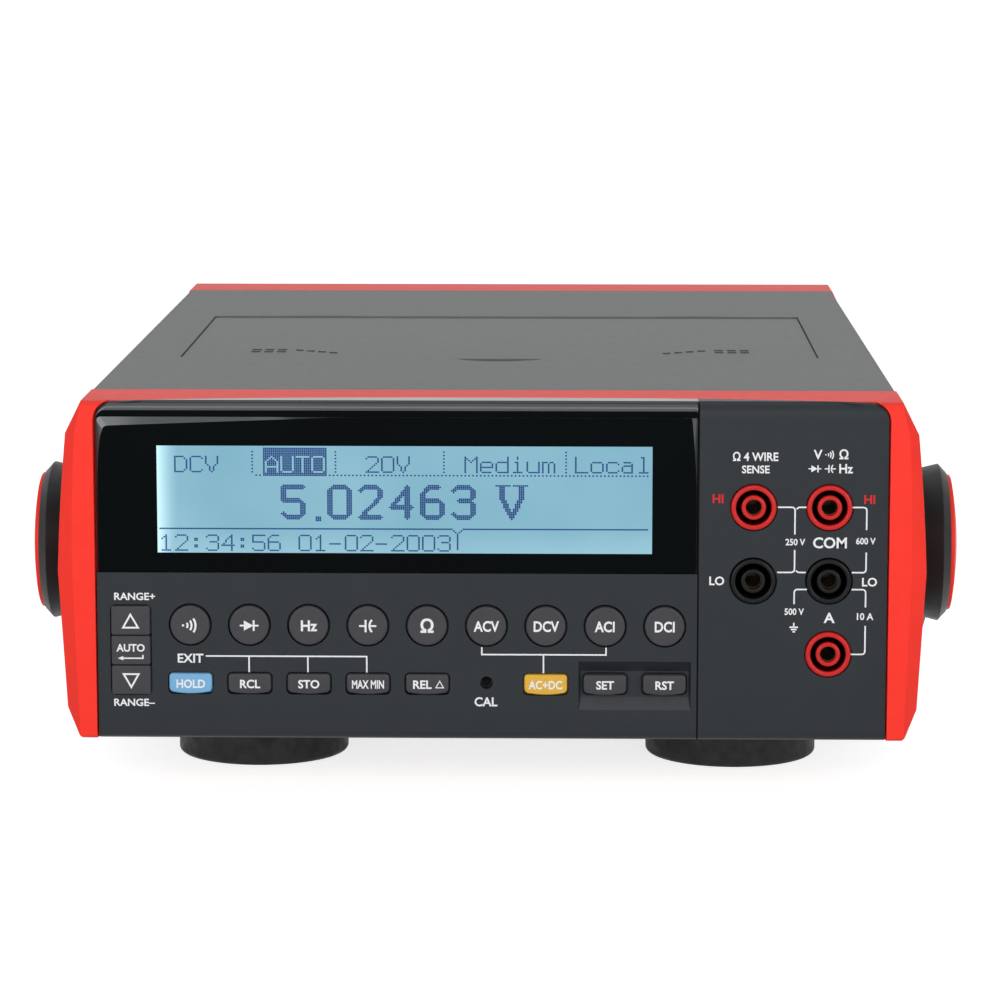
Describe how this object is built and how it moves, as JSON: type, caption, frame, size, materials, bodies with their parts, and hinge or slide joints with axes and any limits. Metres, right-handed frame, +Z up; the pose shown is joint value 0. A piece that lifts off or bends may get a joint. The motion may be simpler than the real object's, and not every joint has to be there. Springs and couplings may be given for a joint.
{
  "type": "bench multimeter",
  "caption": "Bench multimeter with a wide backlit display, function keys, safety test jacks, a lidded storage tray on top and a swinging carrying handle.",
  "frame": {"origin": "on the bench, below the middle of the bounding box", "axes": "+X to the right of someone facing the display, +Y from the front panel to the rear, +Z up"},
  "size_m": [0.246, 0.31, 0.105],
  "materials": {
    "case": "fine matt moulded plastic, charcoal grey",
    "bezel": "satin moulded plastic, bright red",
    "panel": "satin moulded plastic, dark grey",
    "lens": "polished black acrylic with a clear window",
    "lcd": "backlit blue display",
    "keypad": "silicone rubber",
    "board": "glass-fibre board, green solder mask",
    "relay": "moulded plastic",
    "capacitor": "plastic sleeve",
    "core": "steel laminations",
    "winding": "enamelled copper wire",
    "black": "matt moulded plastic, black",
    "plated": "nickel-plated steel",
    "fuse_glass": "clear glass",
    "jack_red": "glossy moulded plastic, red",
    "jack_black": "glossy moulded plastic, black",
    "contact": "plated brass sleeve",
    "cal_white": "moulded plastic, off-white",
    "handle": "matt moulded plastic, black",
    "foot": "black rubber",
    "screw": "zinc-plated steel",
    "key": "satin moulded plastic, dark grey with a white legend",
    "key_blue": "satin moulded plastic, blue with a white legend",
    "key_amber": "satin moulded plastic, amber with a white legend"
  },
  "bodies": {
    "chassis": {"top_cover": "case", "bottom_case": "case", "front_bezel": "bezel", "rear_bezel": "bezel", "front_panel": "panel", "terminal_panel": "panel", "display_lens": "lens", "lcd_module": "lcd", "keypad_mat": "keypad", "front_board": "board", "input_board": "board", "main_board": "board", "board_relays": "relay", "filter_capacitors": "capacitor", "transformer_core": "core", "transformer_coil": "winding", "rear_panel": "panel", "mains_inlet": "black", "inlet_pins": "plated", "power_switch_frame": "black", "serial_connector": "plated", "jack_sense_hi": "jack_red", "jack_input_hi": "jack_red", "jack_sense_lo": "jack_black", "jack_input_lo": "jack_black", "jack_current": "jack_red", "jack_contacts": "contact", "cal_switch": "black", "lid_hinge_pins": "plated", "handle_pivots": "plated", "feet": "foot", "case_screws": "screw"},
    "lid": {"storage_lid": "case"},
    "handle": {"handle": "handle", "handle_caps": "bezel"},
    "fuse_drawer": {"fuse_drawer": "black", "mains_fuses": "fuse_glass"},
    "power_rocker": {"power_rocker": "black"},
    "cal_button": {"cal_button": "cal_white"},
    "key_continuity": {"key_continuity": "key"},
    "key_diode": {"key_diode": "key"},
    "key_frequency": {"key_frequency": "key"},
    "key_capacitance": {"key_capacitance": "key"},
    "key_resistance": {"key_resistance": "key"},
    "key_ac_volts": {"key_ac_volts": "key"},
    "key_dc_volts": {"key_dc_volts": "key"},
    "key_ac_current": {"key_ac_current": "key"},
    "key_dc_current": {"key_dc_current": "key"},
    "key_hold": {"key_hold": "key_blue"},
    "key_recall": {"key_recall": "key"},
    "key_store": {"key_store": "key"},
    "key_max_min": {"key_max_min": "key"},
    "key_relative": {"key_relative": "key"},
    "key_ac_plus_dc": {"key_ac_plus_dc": "key_amber"},
    "key_set": {"key_set": "key"},
    "key_reset": {"key_reset": "key"},
    "key_range_down": {"key_range_down": "key"},
    "key_auto": {"key_auto": "key"},
    "key_range_up": {"key_range_up": "key"}
  },
  "joints": [
    {"name": "lid_hinge", "type": "hinge", "parent": "chassis", "child": "lid", "pos_m": [0, 0.0486, 0.1026], "axis": [-1, 0, 0], "range_deg": [0, 95]},
    {"name": "handle_swing", "type": "hinge", "parent": "chassis", "child": "handle", "pos_m": [0, -0.103, 0.061], "axis": [-1, 0, 0], "range_deg": [0, 233]},
    {"name": "fuse_drawer_slide", "type": "slide", "parent": "chassis", "child": "fuse_drawer", "axis": [0, 1, 0], "range_m": [0, 0.018]},
    {"name": "power_rocker_tilt", "type": "hinge", "parent": "chassis", "child": "power_rocker", "pos_m": [0.022, 0.1475, 0.0554], "axis": [-1, 0, 0], "range_deg": [0, 18]},
    {"name": "cal_button_press", "type": "slide", "parent": "chassis", "child": "cal_button", "axis": [0, 1, 0], "range_m": [0, 0.0003], "stiffness_N_per_m": 600},
    {"name": "key_continuity_press", "type": "slide", "parent": "chassis", "child": "key_continuity", "axis": [0, 1, 0], "range_m": [0, 0.0012], "stiffness_N_per_m": 400},
    {"name": "key_diode_press", "type": "slide", "parent": "chassis", "child": "key_diode", "axis": [0, 1, 0], "range_m": [0, 0.0012], "stiffness_N_per_m": 400},
    {"name": "key_frequency_press", "type": "slide", "parent": "chassis", "child": "key_frequency", "axis": [0, 1, 0], "range_m": [0, 0.0012], "stiffness_N_per_m": 400},
    {"name": "key_capacitance_press", "type": "slide", "parent": "chassis", "child": "key_capacitance", "axis": [0, 1, 0], "range_m": [0, 0.0012], "stiffness_N_per_m": 400},
    {"name": "key_resistance_press", "type": "slide", "parent": "chassis", "child": "key_resistance", "axis": [0, 1, 0], "range_m": [0, 0.0012], "stiffness_N_per_m": 400},
    {"name": "key_ac_volts_press", "type": "slide", "parent": "chassis", "child": "key_ac_volts", "axis": [0, 1, 0], "range_m": [0, 0.0012], "stiffness_N_per_m": 400},
    {"name": "key_dc_volts_press", "type": "slide", "parent": "chassis", "child": "key_dc_volts", "axis": [0, 1, 0], "range_m": [0, 0.0012], "stiffness_N_per_m": 400},
    {"name": "key_ac_current_press", "type": "slide", "parent": "chassis", "child": "key_ac_current", "axis": [0, 1, 0], "range_m": [0, 0.0012], "stiffness_N_per_m": 400},
    {"name": "key_dc_current_press", "type": "slide", "parent": "chassis", "child": "key_dc_current", "axis": [0, 1, 0], "range_m": [0, 0.0012], "stiffness_N_per_m": 400},
    {"name": "key_hold_press", "type": "slide", "parent": "chassis", "child": "key_hold", "axis": [0, 1, 0], "range_m": [0, 0.0012], "stiffness_N_per_m": 400},
    {"name": "key_recall_press", "type": "slide", "parent": "chassis", "child": "key_recall", "axis": [0, 1, 0], "range_m": [0, 0.0012], "stiffness_N_per_m": 400},
    {"name": "key_store_press", "type": "slide", "parent": "chassis", "child": "key_store", "axis": [0, 1, 0], "range_m": [0, 0.0012], "stiffness_N_per_m": 400},
    {"name": "key_max_min_press", "type": "slide", "parent": "chassis", "child": "key_max_min", "axis": [0, 1, 0], "range_m": [0, 0.0012], "stiffness_N_per_m": 400},
    {"name": "key_relative_press", "type": "slide", "parent": "chassis", "child": "key_relative", "axis": [0, 1, 0], "range_m": [0, 0.0012], "stiffness_N_per_m": 400},
    {"name": "key_ac_plus_dc_press", "type": "slide", "parent": "chassis", "child": "key_ac_plus_dc", "axis": [0, 1, 0], "range_m": [0, 0.0012], "stiffness_N_per_m": 400},
    {"name": "key_set_press", "type": "slide", "parent": "chassis", "child": "key_set", "axis": [0, 1, 0], "range_m": [0, 0.0012], "stiffness_N_per_m": 400},
    {"name": "key_reset_press", "type": "slide", "parent": "chassis", "child": "key_reset", "axis": [0, 1, 0], "range_m": [0, 0.0012], "stiffness_N_per_m": 400},
    {"name": "key_range_down_press", "type": "slide", "parent": "chassis", "child": "key_range_down", "axis": [0, 1, 0], "range_m": [0, 0.0012], "stiffness_N_per_m": 400},
    {"name": "key_auto_press", "type": "slide", "parent": "chassis", "child": "key_auto", "axis": [0, 1, 0], "range_m": [0, 0.0012], "stiffness_N_per_m": 400},
    {"name": "key_range_up_press", "type": "slide", "parent": "chassis", "child": "key_range_up", "axis": [0, 1, 0], "range_m": [0, 0.0012], "stiffness_N_per_m": 400}
  ]
}
